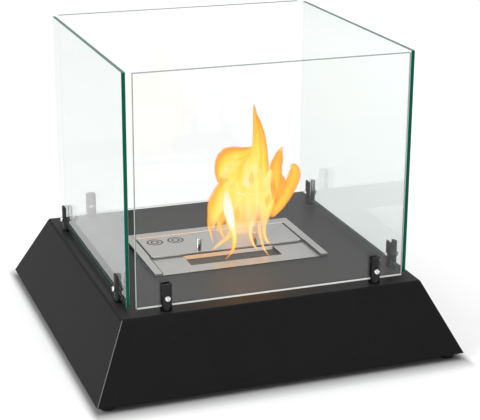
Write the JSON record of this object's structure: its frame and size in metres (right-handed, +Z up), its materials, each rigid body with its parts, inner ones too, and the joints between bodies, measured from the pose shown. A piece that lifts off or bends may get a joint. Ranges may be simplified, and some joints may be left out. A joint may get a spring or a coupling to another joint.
{
  "type": "bioethanol fireplace",
  "caption": "Table-top bioethanol fireplace: sloping black steel base, glass panes in slotted posts, and a drop-in stainless burner with a sliding lid.",
  "frame": {"origin": "on the table, under the middle of the base", "axes": "+Z up, -Y the front (the side of the flame opening), +X to the right seen from the front"},
  "size_m": [0.5, 0.5, 0.407],
  "materials": {
    "black_powder_coat": "satin",
    "black_post": "satin",
    "brushed_stainless": "satin",
    "polished_chrome": "polished",
    "zinc_plated_steel": "satin",
    "clear_glass": "polished",
    "foot_rubber": "matte",
    "ceramic_fibre": "matte"
  },
  "bodies": {
    "base": {"hood": "black_powder_coat", "left_side_panel": "black_powder_coat", "right_side_panel": "black_powder_coat", "floor_tray": "black_powder_coat", "foot_front_left": "foot_rubber", "foot_front_right": "foot_rubber", "foot_back_left": "foot_rubber", "foot_back_right": "foot_rubber", "foot_screw_front_left": "zinc_plated_steel", "foot_screw_front_right": "zinc_plated_steel", "foot_screw_back_left": "zinc_plated_steel", "foot_screw_back_right": "zinc_plated_steel", "glass_pane_front": "clear_glass", "glass_pane_right": "clear_glass", "glass_pane_back": "clear_glass", "glass_pane_left": "clear_glass", "post_front_left": "black_post", "post_front_right": "black_post", "post_right_front": "black_post", "post_right_back": "black_post", "post_back_right": "black_post", "post_back_left": "black_post", "post_left_back": "black_post", "post_left_front": "black_post", "outer_clamp_screw_front_left": "polished_chrome", "outer_clamp_screw_front_right": "polished_chrome", "outer_clamp_screw_right_front": "polished_chrome", "outer_clamp_screw_right_back": "polished_chrome", "outer_clamp_screw_back_right": "polished_chrome", "outer_clamp_screw_back_left": "polished_chrome", "outer_clamp_screw_left_back": "polished_chrome", "outer_clamp_screw_left_front": "polished_chrome", "inner_clamp_screw_front_left": "polished_chrome", "inner_clamp_screw_front_right": "polished_chrome", "inner_clamp_screw_right_front": "polished_chrome", "inner_clamp_screw_right_back": "polished_chrome", "inner_clamp_screw_back_right": "polished_chrome", "inner_clamp_screw_back_left": "polished_chrome", "inner_clamp_screw_left_back": "polished_chrome", "inner_clamp_screw_left_front": "polished_chrome", "post_nut_front_left": "zinc_plated_steel", "post_nut_front_right": "zinc_plated_steel", "post_nut_right_front": "zinc_plated_steel", "post_nut_right_back": "zinc_plated_steel", "post_nut_back_right": "zinc_plated_steel", "post_nut_back_left": "zinc_plated_steel", "post_nut_left_back": "zinc_plated_steel", "post_nut_left_front": "zinc_plated_steel"},
    "burner": {"burner_tank": "brushed_stainless", "burner_top_plate": "brushed_stainless", "flame_grille": "brushed_stainless", "ceramic_wool": "ceramic_fibre", "left_lid_rail": "brushed_stainless", "right_lid_rail": "brushed_stainless", "rear_strip": "brushed_stainless"},
    "lid": {"burner_lid": "brushed_stainless", "lid_knob_left": "polished_chrome", "lid_knob_right": "polished_chrome", "knob_screw_left": "zinc_plated_steel", "knob_screw_right": "zinc_plated_steel"}
  },
  "joints": [
    {"name": "burner_lift", "type": "slide", "parent": "base", "child": "burner", "axis": [0, 0, 1], "range_m": [0, 0.37]},
    {"name": "lid_slide", "type": "slide", "parent": "burner", "child": "lid", "axis": [0, -1, 0], "range_m": [0, 0.058]}
  ]
}
